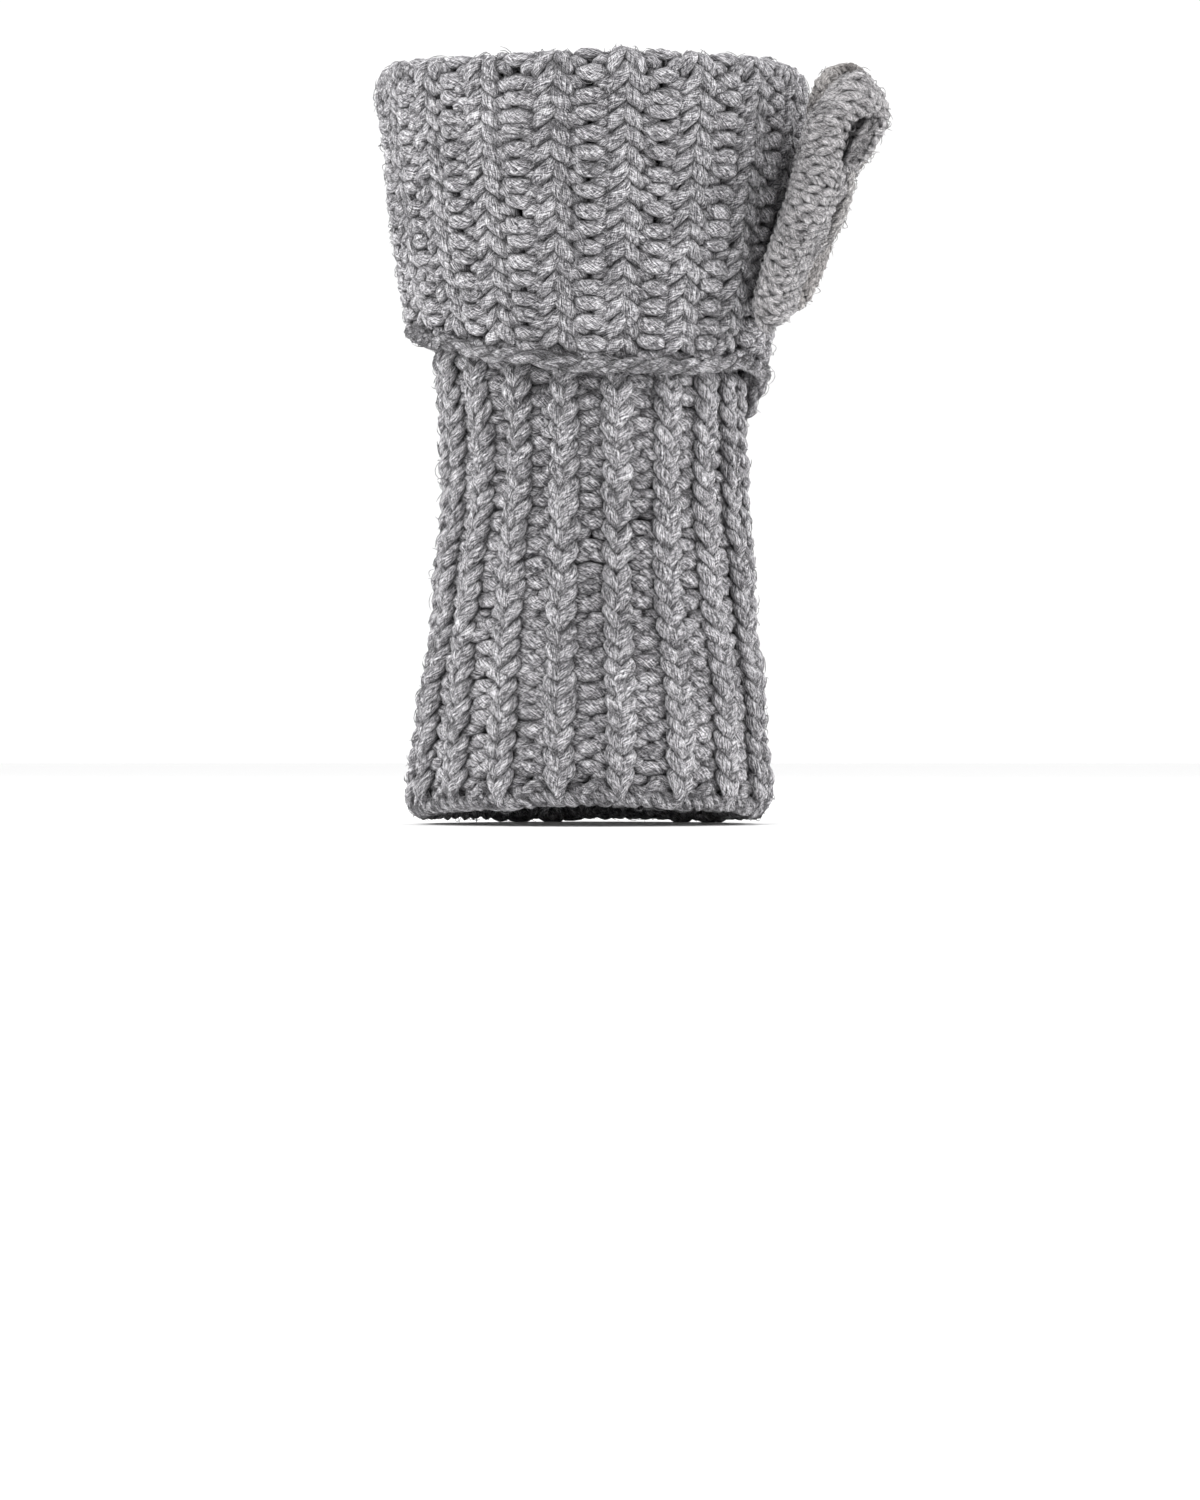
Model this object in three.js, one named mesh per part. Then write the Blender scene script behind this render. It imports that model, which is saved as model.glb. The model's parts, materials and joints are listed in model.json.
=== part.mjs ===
// A knitted boot cuff: a ribbed leg tube whose top is folded over and can be turned up,
// with a knitted bow sewn to the outside of the fold-over on the +X side.
// Millimetres, +Z up. The origin is in the plane of the tube's bottom edge, under the middle of the
// whole object, so the tube's own axis stands a little to the -X side of it.
import * as THREE from "three";

// Driving dimensions.
const AXIS_X = -11.3; // where the tube's axis stands, as the bow widens the object on the other side
const RIBS = 18; // rib columns round the tube
const FABRIC = 6; // thickness of the ribbed fabric
const YARN = 3; // diameter of the chunky yarn
const GAP = 0.4; // clearance between neighbouring solids
const ROUND_STEPS = 36; // facets round the tube
const RIM_Z = 202; // top of the rolled fold
const HINGE_Z = 195; // height of the line that the fold-over turns about
const HINGE_R = 55.5; // radius of that line, in the middle of the fold-over's thickness
const HEM_R = 45.6; // radius of the middle of the fold-over near its lower edge
const HEM_Z = 121; // height where it has that radius
const HEM_MEAN = 119.5; // mean height of the edge itself
const HEM_TILT = 7.2; // the edge hangs askew by this much, highest at the front of the -X side
const HEM_TILT_AT = THREE.MathUtils.degToRad(-129);
const HEM_WAVE = 4.2; // and it rises at both sides
const HEM_WAVE_AT = THREE.MathUtils.degToRad(-9);
const BASE_RING = 4; // height of the cast-on edge

// Radius and height of the tube's outer face, from the bottom edge up to the fold.
const TUBE_OUTLINE = [
  [47.6, 4],
  [48.2, 10],
  [47.2, 25],
  [45.0, 42],
  [42.6, 60],
  [41.0, 100],
  [41.4, 128],
  [45.6, 160],
  [51.0, 194],
];

// The bow: its own frame has the knot's centre as origin, Y along its length and Z up its height.
const BOW = {
  centre: new THREE.Vector3(65.4, 0, 168),
  lean: THREE.MathUtils.degToRad(18), // the top stands away from the leg
  swivel: THREE.MathUtils.degToRad(8), // the rear loop sits higher than the front one
  reach: 46, // from the knot's centre to a loop's end
  halfHeight: 33, // of the open loops
  pinch: 0.3, // share of that height left inside the knot
  rootDepth: 0.55, // share of a loop's fullness at the knot
  skin: 2.6, // thickness of the bow's fabric
  wrapHalf: 8, // half the width of the strip round the knot
  wrapSkin: 2.6,
  coreDepth: 3.2, // half the thickness of the gathered middle
  coreHalf: 8.6, // half the length of the gathered middle
  loopStart: 10.4, // where a loop starts, measured from the knot's centre
  openAt: 34.5, // where it has reached its full height
};
// Half the thickness of each open loop, and how far it turns away from the leg at the knot.
const FRONT_LOOP = { depth: 5.5, turn: THREE.MathUtils.degToRad(-8.5) };
const REAR_LOOP = { depth: 8, turn: THREE.MathUtils.degToRad(-3.5) };

const HALF_TURN = Math.PI;
const RIB_ANGLE = (2 * Math.PI) / RIBS;
const CONE = Math.atan((HINGE_R - HEM_R) / (HINGE_Z - HEM_Z)); // slope of the fold-over

function knit(colour) {
  return new THREE.MeshStandardMaterial({ color: colour, roughness: 0.95, metalness: 0 });
}
const MAIN_YARN = knit(0x8f8d90);
const EDGE_YARN = knit(0x878588);
const BOW_YARN = knit(0x989599);
const SEWING_THREAD = knit(0x76747a);

const part = new THREE.Group();

function addPiece(name, geometry, material, parent = part) {
  const mesh = new THREE.Mesh(geometry, material);
  mesh.name = name;
  parent.add(mesh);
  return mesh;
}

// A ring from a closed outline of [radius, height] points, listed anticlockwise.
function ring(outline) {
  const points = [...outline, outline[0]].map(([r, z]) => new THREE.Vector2(r, z));
  return new THREE.LatheGeometry(points, ROUND_STEPS).rotateX(HALF_TURN / 2);
}

// A round strand of yarn along a smooth line through the points given.
function strand(points, diameter, steps) {
  const path = new THREE.CatmullRomCurve3(points.map((p) => new THREE.Vector3(...p)));
  const section = new THREE.Shape().absarc(0, 0, diameter / 2, 0, 2 * Math.PI);
  return new THREE.ExtrudeGeometry(section, { extrudePath: path, steps, curveSegments: 4 });
}

// The outer face of the tube as [radius, height] samples.
function tubeOutline(samples) {
  const curve = new THREE.SplineCurve(TUBE_OUTLINE.map(([r, z]) => new THREE.Vector2(r, z)));
  return curve.getPoints(samples).map((p) => [p.x, p.y]);
}

function innerRadiusAt(z) {
  const outline = tubeOutline(60);
  const nearest = outline.reduce((a, b) => (Math.abs(b[1] - z) < Math.abs(a[1] - z) ? b : a));
  return nearest[0] - FABRIC;
}

function makeLegTube() {
  const outer = tubeOutline(14);
  const low = BASE_RING + GAP;
  outer[0][1] = low;
  const inner = outer.map(([r, z]) => [r - FABRIC, z]).reverse();
  addPiece("leg_tube", ring([...outer, ...inner]), MAIN_YARN);
}

function makeCastOnEdge() {
  const outer = TUBE_OUTLINE[0][0];
  const inner = outer - FABRIC;
  const shoulder = 1;
  const bulge = 0.3; // the cast-on stitches stand a little proud of the tube
  addPiece(
    "cast_on_edge",
    ring([
      [outer - shoulder, 0],
      [outer + bulge, shoulder],
      [outer, BASE_RING],
      [inner, BASE_RING],
      [inner, shoulder],
      [inner + shoulder, 0],
    ]),
    EDGE_YARN,
  );
}

// The rolled top of the tube, where the fabric turns over.
function makeFoldRoll() {
  const low = TUBE_OUTLINE.at(-1)[1] + GAP;
  const outer = TUBE_OUTLINE.at(-1)[0];
  const radius = FABRIC / 2;
  const centre = outer - radius;
  const outline = [[outer, low]];
  const arcSteps = 6;
  for (let i = 0; i <= arcSteps; i++) {
    const a = (HALF_TURN * i) / arcSteps;
    outline.push([centre + radius * Math.cos(a), RIM_Z - radius + radius * Math.sin(a)]);
  }
  outline.push([outer - FABRIC, low]);
  addPiece("fold_roll", ring(outline), MAIN_YARN);
}

// The sewn join down the back, a ridge on the inside of the tube.
function makeBackSeam() {
  const width = 2.4;
  const heights = [6, 30, 60, 100, 130, 160, 190];
  const line = heights.map((z) => [0, innerRadiusAt(z) - width, z]);
  addPiece("back_seam", strand(line, width, 14), EDGE_YARN);
}

// The cut end of the cast-on yarn, woven along the inside beside the seam.
function makeYarnEnd() {
  const diameter = YARN * 0.8;
  const bottom = 8;
  const rise = 6; // one row of knitting and a little more
  const start = THREE.MathUtils.degToRad(100);
  const drift = 0.06; // radians that it slants round the tube for each rise
  const line = [];
  for (let i = 0; i < 5; i++) {
    const z = bottom + rise * i;
    const angle = start + drift * i;
    const r = innerRadiusAt(z) - diameter;
    line.push([r * Math.cos(angle), r * Math.sin(angle), z]);
  }
  addPiece("woven_in_yarn_end", strand(line, diameter, 8), MAIN_YARN);
}

// Height of the fold-over's lower edge at an angle round the tube, 0 on +X and a quarter turn at
// the back.
function hemHeight(angle) {
  const tilt = HEM_TILT * Math.cos(angle - HEM_TILT_AT);
  const wave = HEM_WAVE * Math.cos(2 * (angle - HEM_WAVE_AT));
  return HEM_MEAN + tilt + wave;
}

// One rib of the fold-over: a flat plate that hangs from the hinge line and narrows towards the edge.
function ribGeometry(length) {
  const half = FABRIC / 2;
  const bead = half + 0.4; // the bound-off edge is a little thicker
  const side = new THREE.Shape();
  side.moveTo(half, 0);
  side.absarc(0, 0, half, 0, HALF_TURN, false);
  side.lineTo(-half, -(length - 2 * bead));
  side.absarc(0, -(length - bead), bead, HALF_TURN, 2 * HALF_TURN, false);
  side.lineTo(half, -(length - 2 * bead));
  side.closePath();
  const plate = new THREE.ExtrudeGeometry(side, {
    depth: 1,
    bevelEnabled: false,
    curveSegments: 6,
  });
  // Shape x is outwards, shape y is up the plate, and the extrusion runs round the tube. The width
  // is what the wedge of one rib leaves at the plate's inner face.
  const place = plate.getAttribute("position");
  for (let i = 0; i < place.count; i++) {
    const down = Math.max(0, -place.getY(i));
    const innerFace = HINGE_R - bead - down * Math.sin(CONE);
    const width = 2 * innerFace * Math.tan(RIB_ANGLE / 2) - 2 * GAP;
    place.setZ(i, (place.getZ(i) - 0.5) * width);
  }
  return plate.rotateX(HALF_TURN / 2);
}

function makeFoldOver() {
  for (let i = 0; i < RIBS; i++) {
    const angle = i * RIB_ANGLE;
    const turn = new THREE.Group();
    turn.rotation.z = angle;
    const length = (HINGE_Z - hemHeight(angle)) / Math.cos(CONE);
    const name = "cuff_rib_" + String(i + 1).padStart(2, "0");
    const rib = addPiece(name, ribGeometry(length), MAIN_YARN, turn);
    rib.position.set(HINGE_R, 0, HINGE_Z);
    rib.rotation.y = CONE;
    part.add(turn);
  }
}

// One face of a loop seen from above: a drop that is narrow at the knot and full at its far end.
function dropOutline(fullDepth, inset) {
  const steps = 24;
  const near = BOW.loopStart + inset;
  const length = BOW.reach - BOW.loopStart - 2 * inset;
  const depth = fullDepth - inset;
  const points = [];
  for (let i = 0; i < steps; i++) {
    const turn = (2 * Math.PI * i) / steps;
    const along = (1 - Math.cos(turn)) / 2;
    const fullness = BOW.rootDepth + (1 - BOW.rootDepth) * along;
    points.push(new THREE.Vector2(depth * fullness * Math.sin(turn), near + length * along));
  }
  return points;
}

// A loop of the bow: a flattened ring of fabric, open above and below, gathered towards the knot.
function loopGeometry(fullDepth) {
  const shape = new THREE.Shape(dropOutline(fullDepth, 0));
  shape.holes.push(new THREE.Path(dropOutline(fullDepth, BOW.skin)));
  // Extruded from -1 to 1, then stretched to the loop's height, which grows away from the knot.
  const loop = new THREE.ExtrudeGeometry(shape, { depth: 2, steps: 4, bevelEnabled: false });
  loop.translate(0, 0, -1);
  const place = loop.getAttribute("position");
  for (let i = 0; i < place.count; i++) {
    const along = THREE.MathUtils.smoothstep(place.getY(i), 0, BOW.openAt);
    const share = BOW.pinch + (1 - BOW.pinch) * along;
    place.setZ(i, place.getZ(i) * BOW.halfHeight * share);
  }
  return loop;
}

// The gathered middle of the bow's strip, inside the knot.
function coreGeometry() {
  const half = BOW.halfHeight * BOW.pinch - GAP;
  const section = new THREE.Shape().absellipse(0, 0, BOW.coreDepth, half, 0, 2 * Math.PI);
  const depth = 2 * BOW.coreHalf;
  const core = new THREE.ExtrudeGeometry(section, { depth, bevelEnabled: false, curveSegments: 8 });
  return core.translate(0, 0, -depth / 2).rotateX(-HALF_TURN / 2);
}

// The strip wrapped round the gathered middle.
function wrapGeometry() {
  const halfHeight = BOW.halfHeight * BOW.pinch;
  const halfDepth = BOW.coreDepth + GAP;
  const skin = BOW.wrapSkin;
  const turn = 2 * Math.PI;
  const section = new THREE.Shape().absellipse(0, 0, halfDepth + skin, halfHeight + skin, 0, turn);
  section.holes.push(new THREE.Path().absellipse(0, 0, halfDepth, halfHeight, 0, turn));
  const depth = 2 * BOW.wrapHalf;
  const wrap = new THREE.ExtrudeGeometry(section, { depth, bevelEnabled: false, curveSegments: 8 });
  return wrap.translate(0, 0, -depth / 2).rotateX(-HALF_TURN / 2);
}

// The overcast stitches that close the wrap at its back.
function closingStitchGeometry() {
  const thread = 1;
  const sway = 0.8;
  const pitch = 3;
  const back = -(BOW.coreDepth + BOW.wrapSkin + GAP + thread);
  const line = [-2, -1, 0, 1, 2].map((k) => [back, k * pitch, k % 2 ? sway : -sway]);
  return strand(line, thread, 8);
}

function makeBow() {
  const frame = new THREE.Group();
  frame.position.copy(BOW.centre);
  frame.rotation.set(BOW.swivel, BOW.lean, 0, "YXZ");
  part.add(frame);
  addPiece("bow_gathered_middle", coreGeometry(), BOW_YARN, frame);
  addPiece("bow_knot_wrap", wrapGeometry(), BOW_YARN, frame);
  addPiece("wrap_closing_stitches", closingStitchGeometry(), SEWING_THREAD, frame);
  const front = addPiece("bow_front_loop", loopGeometry(FRONT_LOOP.depth), BOW_YARN, frame);
  front.rotation.z = HALF_TURN + FRONT_LOOP.turn;
  const rear = addPiece("bow_rear_loop", loopGeometry(REAR_LOOP.depth), BOW_YARN, frame);
  rear.rotation.z = -REAR_LOOP.turn;
}

// Two yarn stitches that hold the knot to the fold-over, one above the other.
function makeTackStitches() {
  const offsets = { upper: 4.2, lower: -4.2 }; // from the knot's middle
  const thread = YARN * 0.35;
  const arch = 0.5; // how far the middle of a stitch stands off the fold-over
  const halfLength = 3.2;
  const archHalf = 1.4;
  for (const [side, offset] of Object.entries(offsets)) {
    const z = BOW.centre.z + offset;
    const face = HINGE_R - (HINGE_Z - z) * Math.tan(CONE) + FABRIC / 2 / Math.cos(CONE);
    const low = face + GAP + thread / 2;
    const line = [
      [low, -halfLength, z],
      [low + arch, -archHalf, z],
      [low + arch, archHalf, z],
      [low, halfLength, z],
    ];
    addPiece("tack_stitch_" + side, strand(line, thread, 6), SEWING_THREAD);
  }
}

makeLegTube();
makeCastOnEdge();
makeFoldRoll();
makeBackSeam();
makeYarnEnd();
makeFoldOver();
makeBow();
makeTackStitches();
part.position.x = AXIS_X;

export default part;
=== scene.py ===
"""Looks of a rib-knit boot cuff with a turned-down top and a knitted bow, built yarn by yarn.

Lengths are in millimetres while shapes are made and become metres when a mesh is written.
Angles round the leg are measured from the front (-Y) towards the bow's side (+X).
"""
import json
import math

import bpy
import numpy as np
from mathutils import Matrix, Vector


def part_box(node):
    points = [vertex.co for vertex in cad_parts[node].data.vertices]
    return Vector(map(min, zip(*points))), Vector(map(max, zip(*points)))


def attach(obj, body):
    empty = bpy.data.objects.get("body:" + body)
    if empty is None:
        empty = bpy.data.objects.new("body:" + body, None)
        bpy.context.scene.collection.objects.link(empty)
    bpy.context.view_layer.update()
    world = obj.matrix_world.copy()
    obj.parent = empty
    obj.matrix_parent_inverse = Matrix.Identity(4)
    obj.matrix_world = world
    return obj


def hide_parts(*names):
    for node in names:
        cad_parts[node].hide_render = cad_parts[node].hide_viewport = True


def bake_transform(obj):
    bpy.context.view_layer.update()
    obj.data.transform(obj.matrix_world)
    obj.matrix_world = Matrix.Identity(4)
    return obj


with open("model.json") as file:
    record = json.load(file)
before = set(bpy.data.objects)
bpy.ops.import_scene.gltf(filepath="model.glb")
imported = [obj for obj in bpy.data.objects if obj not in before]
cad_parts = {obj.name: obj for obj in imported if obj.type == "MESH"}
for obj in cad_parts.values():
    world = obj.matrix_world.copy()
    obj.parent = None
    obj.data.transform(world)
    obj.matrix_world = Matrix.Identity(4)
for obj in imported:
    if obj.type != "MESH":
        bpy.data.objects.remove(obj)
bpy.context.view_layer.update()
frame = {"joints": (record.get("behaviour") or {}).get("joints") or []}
JOINTS = {j["name"]: j for j in frame["joints"]}
rng = np.random.default_rng(7)

MM = 0.001
TAU = 2 * math.pi

# ---- the frame's own figures, in mm ------------------------------------------------------
edge_lo, edge_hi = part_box("cast_on_edge")
AXIS_X = (edge_lo.x + edge_hi.x) / 2 / MM
hinge = JOINTS["cuff_turn_up"]["pos_m"]
HINGE_R = hinge[0] / MM - AXIS_X
HINGE_Z = hinge[2] / MM
CONE = math.radians((JOINTS["cuff_turn_up"]["range_deg"][1] - 180) / 2)

# ---- the rib knit ------------------------------------------------------------------------
WALES = 36            # columns of stitches round the leg
WALE_TURN = 360 / WALES
PANELS = 18           # ribs of the fold-over
YARN = 1.75           # radius of the chunky yarn
LOOP_RISE = 4.7       # half the height of a loop
LOOP_DEPTH = 1.5      # how far a loop weaves to each side of the fabric's middle
TUBE_ROWS = 37        # courses from the bottom edge to the fold
CUFF_ROWS = 16        # courses from the fold to the bound-off edge
CUFF_ROW = 5.1        # spacing of the fold-over's courses
CUFF_NOMINAL = 84.0   # length of the fold-over at its mean, from the fold's top
FOLD_RADIUS = 3.25    # of the fabric's middle, where the top turns over
SAMPLES = 20          # points of a stitch
SIDES = 8             # facets round a yarn
FLAT = 1.09           # yarn is pressed a little flat in the fabric
FIBRE = 0.125         # radius of a loose tuft of fibres
FIBRE_LENGTH = (2.2, 5.5)
FIBRES_A_STITCH = 24  # tufts, not single fibres
PLIES = 0.09          # depth of the grooves between the yarn's two plies

# Height and radius of the tube's fabric, from the bottom edge to the fold.
TUBE_SHAPE = np.array([
    (0, 45.2), (7, 45.3), (14, 45.0), (20, 44.6), (34, 43.3), (47, 41.3), (60, 39.8), (75, 39.0),
    (90, 38.6), (105, 38.4), (128, 38.5), (145, 40.2), (165, 44.0), (185, 48.0), (195.5, 49.0)])


def smooth(x, lo=0.0, hi=1.0):
    """0 at lo, 1 at hi and a soft step between."""
    t = np.clip((x - lo) / (hi - lo), 0, 1)
    return t * t * (3 - 2 * t)


def wander(count, seed, low, high):
    """A smooth random function of (angle, height), as a sum of a few waves."""
    r = np.random.default_rng(seed)
    turns = r.integers(low, high + 1, count)
    rises = r.uniform(-1, 1, count) * high / 60
    phases = r.uniform(0, TAU, count)
    sizes = r.uniform(0.5, 1, count) / math.sqrt(count / 2)

    def value(phi, s):
        return sum(a * np.sin(n * phi + k * s + p) for a, n, k, p in zip(sizes, turns, rises, phases))
    return value


bulge = wander(7, 11, 1, 5)
crinkle = wander(9, 12, 5, 16)
sag = wander(6, 13, 1, 6)


def build_profile():
    """The fabric's middle from the bottom edge, up the tube, over the fold and down the outside."""
    z = np.linspace(0, HINGE_Z + 0.5, 800)
    r = np.interp(z, TUBE_SHAPE[:, 0], TUBE_SHAPE[:, 1])
    kernel = np.hanning(61)
    kernel /= kernel.sum()
    padded = np.pad(r, 30, mode="edge")
    r = np.convolve(padded, kernel, mode="valid")
    top = z[-1]
    a = np.linspace(math.pi, -CONE, 60)[1:]
    centre = r[-1] + FOLD_RADIUS
    arc_r, arc_z = centre + FOLD_RADIUS * np.cos(a), top + FOLD_RADIUS * np.sin(a)
    d = np.linspace(0, 120, 200)[1:]
    end_r, end_z = arc_r[-1] - d * math.sin(CONE), arc_z[-1] - d * math.cos(CONE)
    R = np.concatenate([r, arc_r, end_r])
    Z = np.concatenate([z, arc_z, end_z])
    S = np.concatenate([[0], np.cumsum(np.hypot(np.diff(R), np.diff(Z)))])
    even = np.linspace(0, S[-1], 3000)
    R, Z = np.interp(even, S, R), np.interp(even, S, Z)
    dr, dz = np.gradient(R, even), np.gradient(Z, even)
    size = np.hypot(dr, dz)
    apex = even[np.argmax(Z)]
    return even, R, Z, dz / size, -dr / size, apex


PROF_S, PROF_R, PROF_Z, PROF_NR, PROF_NZ, APEX = build_profile()
TUBE_ROW = APEX / (TUBE_ROWS - 0.15)


# Height of the fold-over's edge each 30 degrees from the front, towards the bow's side first.
HEM_HEIGHTS = np.array([120.9, 121.0, 123.6, 122.0, 110.5, 109.5, 113.5, 123.0,
                        132.5, 133.6, 128.8, 124.0])


def hem_z(phi):
    """Height of the fold-over's bound-off edge, which hangs askew round the leg."""
    place = (phi % TAU) / TAU * len(HEM_HEIGHTS)
    i = np.floor(place).astype(int) % len(HEM_HEIGHTS)
    here, beyond = HEM_HEIGHTS[i], HEM_HEIGHTS[(i + 1) % len(HEM_HEIGHTS)]
    return here + (beyond - here) * smooth(place % 1)


def along_fabric(s, phi):
    """Stretches the fold-over's rows so that they end at its edge, all the way round."""
    beyond = s - APEX
    length = 5.1 + (HINGE_Z - hem_z(phi)) / math.cos(CONE)
    scale = (length - 5) / (CUFF_NOMINAL - 5)
    return np.where(beyond > 5, APEX + 5 + (beyond - 5) * scale, s)


def surface(s, phi, depth):
    """A point of the fabric and the direction its right side faces.

    The right side faces out on the tube. Past the fold it faces the leg, and so does a positive depth.
    """
    t = along_fabric(s, phi)
    r, z = np.interp(t, PROF_S, PROF_R), np.interp(t, PROF_S, PROF_Z)
    nr, nz = np.interp(t, PROF_S, PROF_NR), np.interp(t, PROF_S, PROF_NZ)
    on_cuff = smooth(t, APEX - 2, APEX + 12)
    puff = 0.75 * bulge(phi, t) + 0.28 * crinkle(phi, t)
    calm = 1 - 0.75 * smooth(np.abs(t - APEX), 14, 2)
    r = r + puff * calm * np.where(on_cuff > 0.5, 0.9, 1.0) + depth * nr
    z = z + depth * nz
    # The bottom edge is drawn up a little, most of all at the front.
    front = 4.6 * np.cos(phi / 2) ** 4 + 0.9
    z = z + front * (1 - smooth(t, 0, 62))
    z = z + 0.5 * np.sin(3 * phi + 1.0) * smooth(np.abs(t - APEX), 30, 0)
    # On the bow's side the fold stands a little wider and higher.
    bow_side = np.cos((phi - math.radians(82)) / 2) ** 12 * smooth(np.abs(t - APEX - 4), 46, 4)
    r = r + 1.4 * bow_side * on_cuff
    z = z + 2.4 * bow_side
    # On the far side the fold is high as well, and the fabric lies closer to the leg. The
    # fold-over's edge is drawn in too, most of all at the two sides.
    far_side = np.cos((phi + math.radians(85)) / 2) ** 2
    z = z + 2.4 * far_side ** 6 * smooth(np.abs(t - APEX - 4), 46, 4)
    r = r - far_side ** 3 * (3.2 * smooth(np.abs(t - 95), 32, 4) + 0.9 * (1 - on_cuff))
    r = r - far_side ** 2 * 1.3 * smooth(t - APEX, 45, 75)
    r = r - (1 - far_side) ** 3 * 1.3 * smooth(t - APEX, 55, 80)
    # Under the fold-over the tube is drawn in, so that the two layers stay apart.
    covered = smooth(t - hem_z(phi), -7, 3) * smooth(APEX - 18 - t, 0, 15)
    r = r - 2.3 * covered
    sin, cos = np.sin(phi), np.cos(phi)
    point = np.stack([AXIS_X + r * sin, -r * cos, z], -1)
    normal = np.stack([nr * sin, -nr * cos, nz], -1)
    return point, normal


SQUEEZE_TUBE = 0.52   # how much the columns of V shapes close up on the tube
SQUEEZE_CUFF = 0.22   # and the same on the fold-over, where they are the other columns


def wale_shape(s):
    """Turn of the ribs in degrees, and how much the columns of V shapes close up, at length s."""
    share = smooth(s, 128, 188)
    return -15 + 10 * share, SQUEEZE_TUBE * (1 - share) - SQUEEZE_CUFF * share


def wale_angle(u, s):
    """Angle of wale coordinate u: knit ribs stand narrow on the tube, purl ribs on the fold-over."""
    offset, squeeze = wale_shape(s)
    return np.radians(WALE_TURN * (u - squeeze / math.pi * np.sin(math.pi * (u - 0.5))) + offset)


def wale_width(u, s):
    """Width in mm of the wale at u, as the ribs spread or close."""
    _, squeeze = wale_shape(s)
    radius = np.interp(s, PROF_S, PROF_R)
    spread = 1 - squeeze * 2 / math.pi * np.tanh(2.5 * np.sin(math.pi * u))
    return radius * math.radians(WALE_TURN) * spread


def row_noise(seed, rows, size):
    """One random value a stitch, read smoothly along a row."""
    table = np.random.default_rng(seed).normal(0, size, (rows, WALES))

    def read(row, u):
        x = u % WALES
        i = np.floor(x).astype(int)
        f = smooth(x - i)
        return table[row, i % WALES] * (1 - f) + table[row, (i + 1) % WALES] * f
    return read


ROWS = TUBE_ROWS + CUFF_ROWS
rise_noise = row_noise(21, ROWS, 0.36)
depth_noise = row_noise(22, ROWS, 0.26)
lean_noise = row_noise(23, ROWS, 0.024)
side_noise = row_noise(24, ROWS, 0.028)
plump_noise = row_noise(25, ROWS, 0.07)


def row_height(row):
    """Distance of a course from the bottom edge, along the fabric."""
    if row < TUBE_ROWS:
        return 1.3 + LOOP_RISE + row * (APEX - 1.3 - LOOP_RISE - TUBE_ROW * 0.5) / (TUBE_ROWS - 1)
    return APEX + (row - TUBE_ROWS + 0.5) * CUFF_ROW


def knit_row(row, u):
    """The path of one course's yarn at wale coordinates u.

    Gives its points, normals, the yarn's radius and the distance along the fabric.
    """
    tau = u - np.floor(u)
    middle = row_height(row)
    on_cuff = row >= TUBE_ROWS
    knit = np.sin(math.pi * u) * (-1 if on_cuff else 1)
    side = np.tanh(3.2 * np.sin(math.pi * u)) / math.tanh(3.2)
    # Seen from outside, knit loops are tall and lean together at the foot, purl heads are flat and wide.
    point_up = -0.03 + (0.06 if on_cuff else 0.11) * knit
    wave = np.cos(TAU * tau) + point_up * np.cos(3 * TAU * tau)
    rise = -LOOP_RISE * wave * (1 + 0.25 * rise_noise(row, u))
    s = middle + rise + rise_noise(row, u) + 0.5 * sag(np.radians(WALE_TURN * u), row * 5.4)
    reach = 2.2 + 0.75 * knit if on_cuff else 2.3 - 0.65 * knit
    swing = reach / wale_width(u, middle) + lean_noise(row, u)
    lean = swing * np.sin(2 * TAU * tau)
    calm = smooth(abs(middle - APEX), 4, 16)
    bare = smooth(hem_z(wale_angle(u, s)) - s, -3, 6)
    relief = (0.4 if on_cuff else 0.5 + 1.15 * bare) * calm
    sign = -1 if on_cuff else 1
    depth = side * (sign * relief - LOOP_DEPTH * np.cos(2 * TAU * tau)) + depth_noise(row, u)
    # The last row's feet lie behind the cord along the edge.
    depth = depth * (1 - 0.75 * smooth(s - APEX, CUFF_NOMINAL - 5, CUFF_NOMINAL - 1))
    phi = wale_angle(u + lean + side_noise(row, u), s)
    point, normal = surface(s, phi, depth)
    # Yarn swells where nothing crosses it: the legs of knit loops and the heads of purl ones.
    legs, heads = (0.13, 0.2) if on_cuff else (-0.04, 0.22)
    swell = legs * np.maximum(knit, 0) * -np.cos(2 * TAU * tau)
    swell = swell - heads * np.minimum(knit, 0) * (np.cos(2 * TAU * tau) - 0.15)
    plump = YARN * (1 + plump_noise(row, u) + 0.035 * np.sin(u * 5.1 + row * 2.3) + swell)
    return point, normal, plump, s


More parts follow.
